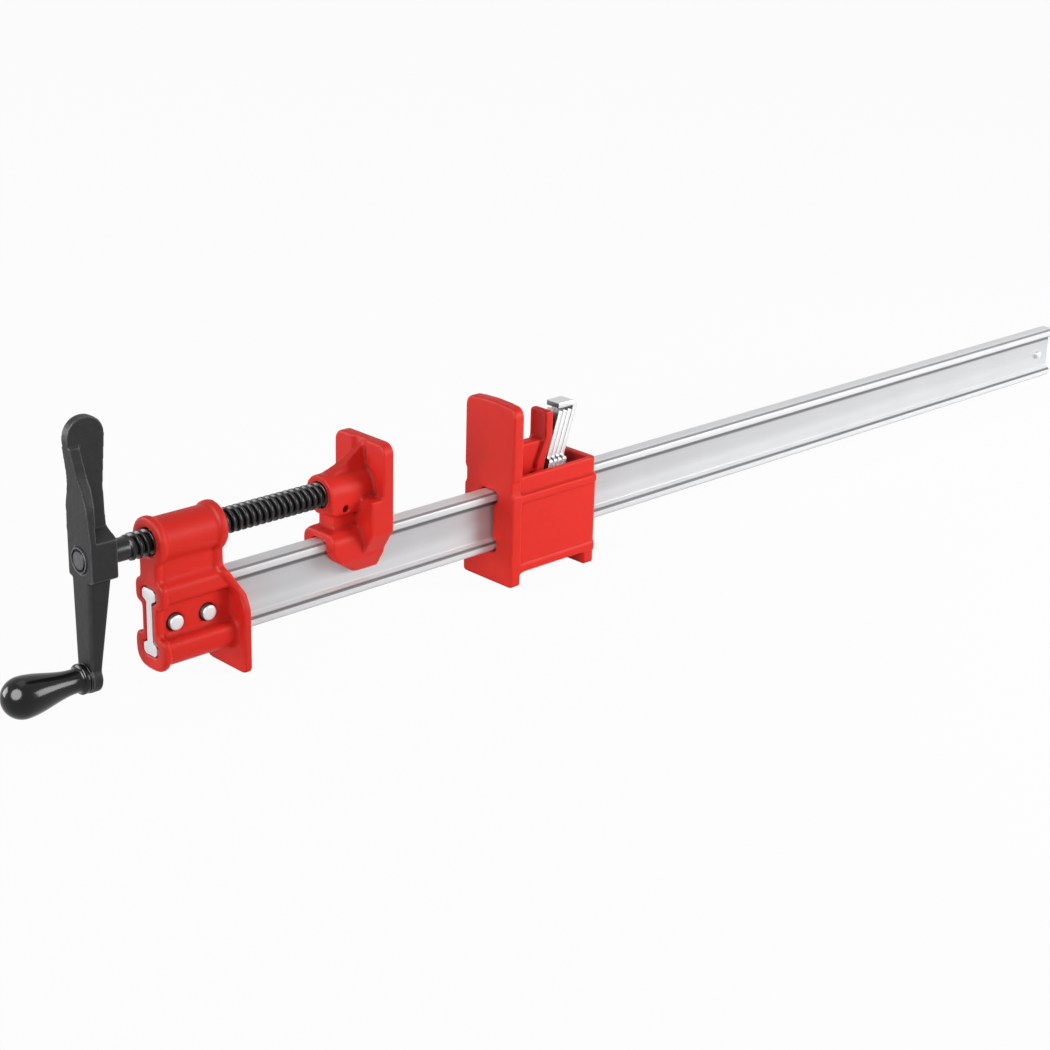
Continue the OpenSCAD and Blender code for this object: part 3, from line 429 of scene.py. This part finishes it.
def rail_zinc(tint):
    """Bright zinc on the rolled rail: drawn lines, cloudy web, and painted shade and painted
    reflections in bands along the flanges and web.
    """
    zinc = Finish("rail_zinc")
    low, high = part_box("rail")
    height = (zinc.place_split("Z") - low.z) * (1 / (high.z - low.z))
    # Painted shade and painted reflections in bands across the rail's height
    band_shade = zinc.ramp(height, *RAIL_SHADE_BANDS)
    facing = zinc.normal_split("X")
    # The painted bands stay off the rail's cut ends
    ends = zinc.ramp(facing * facing, (0.3, 0.0), (0.6, 1.0))
    drawn, cloud, clear, skin = zinc_ground(zinc, tint, (0.04, 1, 1))
    lined = zinc.blend(0.14 * drawn, clear, shade(tint, 0.45))
    band_shaded = zinc.blend(band_shade, shade(tint, 0.1), lined)
    base = zinc.blend(ends, band_shaded, clear)
    roughness = 0.36 + 0.1 * drawn + 0.06 * cloud
    return zinc.close({"Base Color": base, "Roughness": roughness, "Normal": skin,
                       "Metallic": 0.35})


FINISHES = {
    "casting_paint": lambda c: casting_paint(c.casting),
    "crank_paint": lambda c: crank_paint(c.crank),
    "screw_steel": lambda c: screw_black(c.screw),
    "knob_plastic": lambda c: knob_plastic(c.knob),
    "rail_steel": lambda c: rail_zinc(c.rail),
    # Painted shade on the plates' broad faces, square to X
    "plate_zinc": lambda c: bright_zinc("plate_zinc", c.plate, UPRIGHT, metal=0.6, rough=0.3,
                                        dark=0.5, shaded_axis="X"),
    # Painted shade on the head pins' sides
    "head_pin": lambda c: bright_zinc("head_pin_zinc", c.rail, EVEN, metal=0.5, rough=0.36,
                                      dark=0.5, shaded_axis="Y", shade_band=(0.2, 0.6)),
    "pin_steel": lambda c: bright_zinc("pin_zinc", c.plate, EVEN, metal=0.6, rough=0.34,
                                       dark=0.5),
    "spring_steel": lambda c: bright_zinc("spring_zinc", c.rail, EVEN, metal=0.9, rough=0.3,
                                          dark=0.4),
}
made_finishes = {}


def finish_of(slot):
    """The finish of a slot, or of a piece that has one of its own, made once."""
    if slot not in made_finishes:
        made_finishes[slot] = FINISHES[slot](bpy.context.scene.clamp_colours)
    return made_finishes[slot]


# ---------------------------------------------------------------------------
# Pieces
# ---------------------------------------------------------------------------

def settle(shape, name, body, slot, replaced=(), sharp=40):
    """Makes an object of a finished bmesh, in place, on its body and with its finish."""
    mesh = bpy.data.meshes.new(name)
    shape.to_mesh(mesh)
    shape.free()
    return settle_mesh(mesh, name, body, slot, replaced, sharp)


def settle_mesh(mesh, name, body, slot, replaced=(), sharp=40):
    """Links a mesh as a piece. Edges over sharp degrees stay crisp, and with 0 none does."""
    mesh.materials.clear()
    mesh.materials.append(finish_of(slot))
    mesh.shade_smooth()
    if sharp:
        mesh.set_sharp_from_angle(angle=math.radians(sharp))
    piece = bpy.data.objects.new(name, mesh)
    bpy.context.scene.collection.objects.link(piece)
    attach(piece, body)
    if replaced:
        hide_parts(*replaced)
    return piece


def body_of_node(node):
    return frame["nodes"][node]["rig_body"]


def merged_copy(node):
    shape = bmesh.new()
    shape.from_mesh(frame["nodes"][node].data)
    bmesh.ops.remove_doubles(shape, verts=shape.verts, dist=WELD)
    return shape


def eased(share):
    """Goes from 0 to 1 as share does, with a soft start and a soft end."""
    return share * share * (3 - 2 * share)


def cast_skin(shape, name, node, slot, grain, softness, replaced=None):
    """A sand-cast skin over a closed shape: one even net of cells with every edge softened."""
    mesh = bpy.data.meshes.new(name + "_core")
    shape.to_mesh(mesh)
    shape.free()
    core = bpy.data.objects.new(name + "_core", mesh)
    bpy.context.scene.collection.objects.link(core)
    net = core.modifiers.new("net", "REMESH")
    net.mode = "VOXEL"
    net.voxel_size = grain
    ease = core.modifiers.new("ease", "SMOOTH")
    ease.factor = 0.5
    ease.iterations = softness
    graph = bpy.context.evaluated_depsgraph_get()
    skin = bpy.data.meshes.new_from_object(core.evaluated_get(graph))
    bpy.data.objects.remove(core)
    skin.name = name
    return settle_mesh(skin, name, body_of_node(node), slot, replaced or (node,), sharp=0)


# Degrees: facets flatter than this join into one face, and edges sharper than this are rounded
FLAT_ANGLE = 1
CORNER_ANGLE = 24


def eased_copy(node, name, slot, width, segments=3):
    """A rolled or cut piece: the node's flat faces with every edge rounded."""
    shape = merged_copy(node)
    bmesh.ops.dissolve_limit(shape, angle_limit=math.radians(FLAT_ANGLE), verts=shape.verts,
                             edges=shape.edges)
    corners = [e for e in shape.edges
               if e.is_manifold and e.calc_face_angle() > math.radians(CORNER_ANGLE)]
    bmesh.ops.bevel(shape, geom=corners, offset=width, offset_type="OFFSET", segments=segments,
                    profile=0.5, affect="EDGES", clamp_overlap=True, material=-1)
    return settle(shape, name, body_of_node(node), slot, (node,), sharp=30)


def turned(profile, centre, axis, steps):
    """A closed solid of revolution. Profile points are (place along the axis, radius)."""
    shape = bmesh.new()
    points = [shape.verts.new((along, 0, radius)) for along, radius in profile]
    for first, second in zip(points, points[1:]):
        shape.edges.new((first, second))
    bmesh.ops.spin(shape, geom=shape.verts[:] + shape.edges[:], cent=(0, 0, 0), axis=X_AXIS,
                   angle=2 * math.pi, steps=steps, use_merge=True)
    bmesh.ops.remove_doubles(shape, verts=shape.verts, dist=FINE_WELD)
    bmesh.ops.recalc_face_normals(shape, faces=shape.faces)
    turn = X_AXIS.rotation_difference(Vector(axis)).to_matrix().to_4x4()
    bmesh.ops.transform(shape, matrix=Matrix.Translation(centre) @ turn, verts=shape.verts)
    return shape


class CLAMP_OT_castings(bpy.types.Operator):
    """Cast skins for the fixed head, the moving jaw and the sliding head"""
    bl_idname = "clamp.castings"
    bl_label = "Cast Heads and Jaw"

    def execute(self, context):
        sizes = context.scene.clamp_castings
        for node, softness in (("fixed_head", sizes.head_softness),
                               ("moving_jaw", sizes.jaw_softness),
                               ("sliding_head", sizes.slide_softness)):
            cast_skin(merged_copy(node), node + "_casting", node, "casting_paint",
                      sizes.grain, softness)
        return {"FINISHED"}


class CLAMP_OT_crank(bpy.types.Operator):
    """Cast crank with its thumb paddle and the flush, painted pin in its hub"""
    bl_idname = "clamp.crank"
    bl_label = "Crank"

    def execute(self, context):
        sizes = context.scene.clamp_castings
        crank = merged_copy("crank_arm")
        crank.from_mesh(frame["nodes"]["crank_pin"].data)
        cast_skin(crank, "crank_casting", "crank_arm", "crank_paint",
                  sizes.crank_grain, sizes.crank_softness, ("crank_arm", "crank_pin"))
        return {"FINISHED"}


# Thread profile over one lead, as shares of lead and depth
THREAD_SHARES = ((0.0, 0.0), (0.07, 0.04), (0.21, 0.9), (0.26, 1.0), (0.55, 1.0), (0.60, 0.9),
                 (0.74, 0.04), (0.81, 0.0), (1.0, 0.0))
# Spindle radii
NECK_RADIUS = 6 * MM
TENON_RADIUS = 6.7 * MM
# Places along the spindle, from its end in the crank's hub
FACE_PLACE = 1 * MM
TENON_PLACE = 1.2 * MM
SHOULDER_PLACE = 16 * MM
THREAD_PLACE = 25.5 * MM
# How far before the jaw's clamping face the thread ends
THREAD_TO_FACE = 32 * MM
FACE_THICKNESS = 1.15 * MM
# Groove for the jaw's pin, and the chamfer at the pushing end
GROOVE_CLEARANCE = 0.12 * MM
GROOVE_DEPTH = 1.6 * MM
END_CHAMFER = 0.6 * MM


class CLAMP_OT_screw(bpy.types.Operator):
    """Spindle with a helical thread, its neck, its grooved end and its painted tenon face"""
    bl_idname = "clamp.screw"
    bl_label = "Screw"

    def execute(self, context):
        sizes = context.scene.clamp_turned
        low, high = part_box("spindle")
        crest = (high.z - low.z) / 2
        axis_z = (high.z + low.z) / 2
        thread_start = low.x + THREAD_PLACE
        thread_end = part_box("moving_jaw")[1].x - THREAD_TO_FACE
        steps = 48
        turns = math.ceil((thread_end - thread_start) / sizes.lead) + 2
        shape = bmesh.new()
        points = [shape.verts.new((thread_start + (share - 1) * sizes.lead, 0,
                                   crest - (1 - height) * sizes.thread_depth))
                  for share, height in THREAD_SHARES]
        for first, second in zip(points, points[1:]):
            shape.edges.new((first, second))
        bmesh.ops.spin(shape, geom=shape.verts[:] + shape.edges[:], cent=(0, 0, 0), axis=X_AXIS,
                       dvec=X_AXIS * sizes.lead / steps, angle=2 * math.pi * turns,
                       steps=steps * turns)
        bmesh.ops.remove_doubles(shape, verts=shape.verts, dist=WELD)
        for place, keep in ((thread_start, "clear_inner"), (thread_end, "clear_outer")):
            bmesh.ops.bisect_plane(shape, geom=shape.verts[:] + shape.edges[:] + shape.faces[:],
                                   dist=FINE_WELD, plane_co=(place, 0, 0), plane_no=X_AXIS,
                                   **{keep: True})
        for vert in shape.verts:
            radius = math.hypot(vert.co.y, vert.co.z)
            for place, final in ((thread_start, NECK_RADIUS), (thread_end, crest)):
                share = eased(min(1.0, abs(vert.co.x - place) / sizes.run_out))
                grown = final + (radius - final) * share
                vert.co.y *= grown / radius
                vert.co.z *= grown / radius
                radius = grown
        self.finish_end(shape, thread_start, [
            (low.x + SHOULDER_PLACE, NECK_RADIUS), (low.x + SHOULDER_PLACE, TENON_RADIUS),
            (low.x + TENON_PLACE, TENON_RADIUS)])
        self.tenon_face(low.x + FACE_PLACE, axis_z)
        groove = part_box("jaw_pin")
        middle = (groove[0].x + groove[1].x) / 2
        half = (groove[1].x - groove[0].x) / 2 + GROOVE_CLEARANCE
        self.finish_end(shape, thread_end, [
            (middle - half, crest), (middle - half, crest - GROOVE_DEPTH),
            (middle + half, crest - GROOVE_DEPTH), (middle + half, crest),
            (high.x - END_CHAMFER, crest), (high.x, crest - END_CHAMFER)])
        bmesh.ops.recalc_face_normals(shape, faces=shape.faces)
        bmesh.ops.translate(shape, vec=(0, 0, axis_z), verts=shape.verts)
        settle(shape, "spindle_threaded", "screw", "screw_steel", ("spindle",), sharp=50)
        return {"FINISHED"}

    def tenon_face(self, x, axis_z):
        """The tenon's painted end, flush in the crank's hub, with a turned ring in its face."""
        radius, face = TENON_RADIUS, FACE_THICKNESS
        chamfer, floor = 0.2 * MM, face - 0.55 * MM
        # How far in from the rim the ring starts, meets its floor, leaves it and ends
        start, fall, rise, end = 0.8 * MM, 1.1 * MM, 1.8 * MM, 2.1 * MM
        profile = [(0, 0), (0, radius), (face - chamfer, radius), (face, radius - chamfer),
                   (face, radius - start), (floor, radius - fall), (floor, radius - rise),
                   (face, radius - end), (face, 0)]
        shape = turned(profile, (x, 0, axis_z), (-1, 0, 0), steps=72)
        settle(shape, "tenon_face", "screw", "crank_paint", sharp=25)

    def finish_end(self, shape, place, rings):
        """Draws the open end at place out through rings of (x, radius) and closes it."""
        loop = [e for e in shape.edges if e.is_boundary
                and all(abs(v.co.x - place) < 0.01 * MM for v in e.verts)]
        for x, radius in rings:
            grown = bmesh.ops.extrude_edge_only(shape, edges=loop)
            verts = [v for v in grown["geom"] if isinstance(v, bmesh.types.BMVert)]
            loop = [e for e in grown["geom"] if isinstance(e, bmesh.types.BMEdge) and e.is_boundary]
            for vert in verts:
                size = radius / math.hypot(vert.co.y, vert.co.z)
                vert.co = (x, vert.co.y * size, vert.co.z * size)
        bmesh.ops.holes_fill(shape, edges=loop)


class CLAMP_OT_knob(bpy.types.Operator):
    """Turned crank knob with collar, waist and ball end"""
    bl_idname = "clamp.knob"
    bl_label = "Knob"

    def execute(self, context):
        low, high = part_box("crank_knob")
        axis_z = (low.z + high.z) / 2
        ball = (high.z - low.z) / 2
        length = high.x - low.x
        collar, waist, bore = 7.9 * MM, 6.2 * MM, 3.06 * MM
        # The collar's rounded edges, its flat, and where the waist starts
        fillet, flat, waist_start = 0.9 * MM, 2.1 * MM, 5.6 * MM
        # Room for the axle's head: the wall over it, its radius, its depth and that with its cone
        shell, room, room_depth, cone_depth = 8.5 * MM, 3.8 * MM, 6 * MM, 6.8 * MM
        quarter = [math.radians(15 * i) for i in range(7)]
        outer = [(0, bore), (0, collar - fillet)]
        outer += [(fillet * (1 - math.cos(a)), collar - fillet * (1 - math.sin(a)))
                  for a in quarter[1:]]
        outer += [(flat + fillet * math.sin(a), collar - fillet * (1 - math.cos(a)))
                  for a in quarter]
        outer += [(3.4 * MM, waist + 0.35 * MM), (4.2 * MM, waist + 0.05 * MM),
                  (waist_start, waist)]
        reach = length - ball
        count = 22
        for i in range(1, count + 1):
            t = i / count
            outer.append((waist_start + (reach - waist_start) * t,
                          waist + (ball - waist) * eased(t)))
        outer += [(reach + ball * math.sin(a), ball * math.cos(a))
                  for a in (math.radians(6 * i) for i in range(1, 15))]
        outer += [(length, 0), (length - shell, 0), (length - shell, room),
                  (length - shell - room_depth, room), (length - shell - cone_depth, bore),
                  (0, bore)]
        shape = turned(outer, (high.x, 0, axis_z), (-1, 0, 0), steps=72)
        settle(shape, "knob_turned", "knob", "knob_plastic", ("crank_knob",), sharp=50)
        return {"FINISHED"}


class CLAMP_OT_rail(bpy.types.Operator):
    """Rolled rail with rounded edges and its stop pin"""
    bl_idname = "clamp.rail"
    bl_label = "Rail"

    def execute(self, context):
        sizes = context.scene.clamp_sheet
        eased_copy("rail", "rail_rolled", "rail_steel", sizes.rail_edge, segments=4)
        eased_copy("rail_stop_pin", "stop_pin", "pin_steel", sizes.small_edge)
        return {"FINISHED"}


# Head pins: how far they stand beyond their solids, the height of the rim and the dome's rings
PIN_PROUD = 0.7 * MM
PIN_RIM = 0.35 * MM
DOME_RINGS = 8


class CLAMP_OT_pins(bpy.types.Operator):
    """Domed head pins, and rounded edges for axle, washer, cross pins and thrust disc"""
    bl_idname = "clamp.pins"
    bl_label = "Pins"

    def execute(self, context):
        sizes = context.scene.clamp_sheet
        dome = context.scene.clamp_turned.pin_dome
        for node in HEAD_PINS:
            low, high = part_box(node)
            radius = (high.x - low.x) / 2 + sizes.peened
            reach = (high.y - low.y) / 2 + PIN_PROUD
            cap = [(reach + dome * (1 - (ring / DOME_RINGS) ** 4), radius * ring / DOME_RINGS)
                   for ring in range(DOME_RINGS - 1, 0, -1)]
            half = [(reach - PIN_RIM, radius)] + cap + [(reach + dome, 0)]
            profile = [(-x, r) for x, r in reversed(half)] + half
            shape = turned(profile, (low + high) / 2, Y_AXIS, steps=56)
            pin = settle(shape, node + "_domed", body_of_node(node), "pin_steel", (node,), sharp=50)
            pin.data.materials[0] = finish_of("head_pin")
        for node, slot in (("knob_axle", "pin_steel"), ("knob_washer", "screw_steel"),
                           ("jaw_pin", "screw_steel"), ("thrust_disc", "pin_steel")):
            eased_copy(node, node + "_eased", slot, sizes.small_edge)
        return {"FINISHED"}


class CLAMP_OT_clutch(bpy.types.Operator):
    """Clutch plates cut from zinc-plated sheet"""
    bl_idname = "clamp.clutch"
    bl_label = "Clutch Plates"

    def execute(self, context):
        sizes = context.scene.clamp_sheet
        for number in range(1, 5):
            node = f"clutch_plate_{number}"
            eased_copy(node, f"plate_{number}_cut", "plate_zinc", sizes.plate_edge)
        return {"FINISHED"}


class CLAMP_OT_spring(bpy.types.Operator):
    """Coil spring behind the last clutch plate, with a closed turn at each end"""
    bl_idname = "clamp.spring"
    bl_label = "Clutch Spring"

    def execute(self, context):
        sizes = context.scene.clamp_turned
        low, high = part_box("clutch_spring")
        wire = sizes.wire
        mean = (high.z - low.z - wire) / 2
        axis_z = (high.z + low.z) / 2
        steps, sides = 28, 12
        # Advance in a turn: closed at each end, free over the working turns between
        closed = wire * 1.12
        working = 5
        start, end = low.x + wire / 2, high.x - wire / 2
        free = (end - start - 2 * closed) / working
        shape = bmesh.new()
        bmesh.ops.create_circle(shape, cap_ends=False, segments=sides, radius=wire / 2)
        bmesh.ops.rotate(shape, cent=(0, 0, 0), matrix=Matrix.Rotation(math.pi / 2, 3, "X"),
                         verts=shape.verts)
        bmesh.ops.translate(shape, vec=(start, 0, mean), verts=shape.verts)
        last = shape.verts[:] + shape.edges[:]
        for turns, advance in ((1, closed), (working, free), (1, closed)):
            grown = bmesh.ops.spin(shape, geom=last, cent=(0, 0, 0), axis=X_AXIS,
                                   dvec=X_AXIS * advance / steps, angle=2 * math.pi * turns,
                                   steps=steps * turns)
            last = grown["geom_last"]
        bmesh.ops.remove_doubles(shape, verts=shape.verts, dist=FINE_WELD)
        bmesh.ops.holes_fill(shape, edges=[e for e in shape.edges if e.is_boundary])
        bmesh.ops.recalc_face_normals(shape, faces=shape.faces)
        bmesh.ops.translate(shape, vec=(0, 0, axis_z), verts=shape.verts)
        spring = settle(shape, "spring_coiled", body_of_node("clutch_spring"), "spring_steel",
                        ("clutch_spring",), sharp=50)
        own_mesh(spring)
        return {"FINISHED"}


# ---------------------------------------------------------------------------
# Stage
# ---------------------------------------------------------------------------

# Camera as found from the rail's lines in the photograph, whose side is in pixels
PHOTO_SIDE = 1050
FOCAL_PX = 2114.0
CAMERA_PLACE = (-0.5959, -0.8253, 0.4588)
YAW, PITCH, ROLL = 44.41, 20.52, 1.66
SENSOR_WIDTH = 36
VIEW_REACH = 100

# Name, place, aim, shape, size, whether it lights matt surfaces, whether gloss shows it
LAMPS = (
    ("key", (0.95, -0.9, 0.4), (0.2, 0, 0.05), "SQUARE", 0.6, True, True),
    ("side", (-1.5, 0.8, 0.35), (-0.05, 0, 0.05), "SQUARE", 0.6, True, False),
    ("fill", (-1.4, -0.42, 0.4), (-0.05, 0, 0.05), "SQUARE", 0.5, True, False),
    ("catch", (-1.27, -0.46, 1.0), (-0.12, 0, 0.03), "DISK", 1.6, False, True),
    ("sheen", (-1.1, 1.3, 0.42), (-0.08, 0, 0.05), "SQUARE", 0.8, False, True),
    ("top", (0.2, 0.4, 2.0), (0.2, 0, 0.05), "SQUARE", 1.2, True, True),
)
WHITE = (1, 1, 1, 1)
FLOOR_GREY = (0.82, 0.82, 0.82, 1)
FLOOR_REACH = 12
# Strength of the room as the camera and gloss see it
SEEN_SKY = 0.95


class CLAMP_OT_stage(bpy.types.Operator):
    """Pale floor, soft lamps, even sky and the photograph's camera"""
    bl_idname = "clamp.stage"
    bl_label = "Stage"

    def execute(self, context):
        look = context.scene.clamp_stage
        self.floor(look)
        self.sky(context.scene, look)
        for name, place, target, shape, size, light, gloss in LAMPS:
            self.lamp("lamp_" + name, place, target, shape, size, getattr(look, name),
                      light, gloss)
        self.camera(context.scene)
        context.scene.view_settings.view_transform = "Standard"
        return {"FINISHED"}

    def seen_directly(self, finish):
        """1 where the camera, gloss or glass looks at it, and 0 where it only gives light."""
        path = finish.add("ShaderNodeLightPath")
        rays = path["Is Camera Ray"] + path["Is Glossy Ray"] + path["Is Transmission Ray"]
        return rays.limited()

    def floor(self, look):
        shape = bmesh.new()
        bmesh.ops.create_grid(shape, x_segments=1, y_segments=1, size=FLOOR_REACH)
        mesh = bpy.data.meshes.new("floor")
        shape.to_mesh(mesh)
        shape.free()
        floor = bpy.data.objects.new("floor", mesh)
        bpy.context.scene.collection.objects.link(floor)
        paper = Finish("floor_paper")
        matt = paper.add("ShaderNodeBsdfDiffuse", None, {"Color": FLOOR_GREY})["BSDF"]
        white = paper.add("ShaderNodeEmission", None,
                          {"Color": WHITE, "Strength": 1.0})["Emission"]
        share = self.seen_directly(paper) * look.floor_white
        mixed = paper.add("ShaderNodeMixShader", None, {0: share, 1: matt, 2: white})["Shader"]
        paper.add("ShaderNodeOutputMaterial", None, {"Surface": mixed})
        mesh.materials.append(paper.material)

    def sky(self, scene, look):
        world = bpy.data.worlds.new("even_sky")
        world.use_nodes = True
        scene.world = world
        sky = Finish(tree=world.node_tree)
        even = sky.add("ShaderNodeBackground", None,
                       {"Color": WHITE, "Strength": look.sky})["Background"]
        seen = sky.add("ShaderNodeBackground", None,
                       {"Color": WHITE, "Strength": SEEN_SKY})["Background"]
        mixed = sky.add("ShaderNodeMixShader", None,
                        {0: self.seen_directly(sky), 1: even, 2: seen})["Shader"]
        sky.add("ShaderNodeOutputWorld", None, {"Surface": mixed})

    def lamp(self, name, place, target, shape, size, power, light, gloss):
        data = bpy.data.lights.new(name, "AREA")
        data.shape = shape
        data.size = size
        data.energy = power
        lamp = bpy.data.objects.new(name, data)
        lamp.visible_diffuse = light
        lamp.visible_glossy = gloss
        lamp.location = place
        lamp.rotation_mode = "QUATERNION"
        lamp.rotation_quaternion = (Vector(target) - Vector(place)).to_track_quat("-Z", "Y")
        bpy.context.scene.collection.objects.link(lamp)

    def camera(self, scene):
        yaw, pitch, roll = (math.radians(angle) for angle in (YAW, PITCH, ROLL))
        ahead = Vector((math.sin(yaw) * math.cos(pitch), math.cos(yaw) * math.cos(pitch),
                        -math.sin(pitch)))
        right = Vector((math.cos(yaw), -math.sin(yaw), 0))
        up = right.cross(ahead)
        across = right * math.cos(roll) + up * math.sin(roll)
        upright = up * math.cos(roll) - right * math.sin(roll)
        data = bpy.data.cameras.new("camera")
        data.sensor_width = SENSOR_WIDTH
        data.lens = FOCAL_PX / PHOTO_SIDE * data.sensor_width
        data.clip_end = VIEW_REACH
        camera = bpy.data.objects.new("camera", data)
        turn = Matrix((across, upright, -ahead)).transposed().to_4x4()
        camera.matrix_world = Matrix.Translation(CAMERA_PLACE) @ turn
        scene.collection.objects.link(camera)
        scene.camera = camera


class CLAMP_PT_pieces(bpy.types.Panel):
    """Lists the steps that dress the clamp"""
    bl_idname = "CLAMP_PT_pieces"
    bl_label = "Door Clamp"
    bl_space_type = "VIEW_3D"
    bl_region_type = "UI"
    bl_category = "Clamp"

    def draw(self, context):
        for group in GROUPS:
            box = self.layout.box()
            for name in GROUPS[group].__annotations__:
                box.prop(getattr(context.scene, group), name)
        for step in STEPS:
            self.layout.operator(step.bl_idname)


GROUPS = {"clamp_castings": CastingSizes, "clamp_turned": TurnedSizes, "clamp_sheet": SheetSizes,
          "clamp_colours": Colours, "clamp_stage": StageLook}
STEPS = (CLAMP_OT_castings, CLAMP_OT_crank, CLAMP_OT_screw, CLAMP_OT_knob, CLAMP_OT_rail,
         CLAMP_OT_pins, CLAMP_OT_clutch, CLAMP_OT_spring, CLAMP_OT_stage)


def register():
    for kind in (*GROUPS.values(), *STEPS, CLAMP_PT_pieces):
        bpy.utils.register_class(kind)
    for name, kind in GROUPS.items():
        setattr(bpy.types.Scene, name, PointerProperty(type=kind))


def unregister():
    for name in GROUPS:
        delattr(bpy.types.Scene, name)
    for kind in reversed((*GROUPS.values(), *STEPS, CLAMP_PT_pieces)):
        bpy.utils.unregister_class(kind)


def main():
    register()
    for step in STEPS:
        family, action = step.bl_idname.split(".")
        getattr(getattr(bpy.ops, family), action)()


if __name__ == "__main__":
    main()
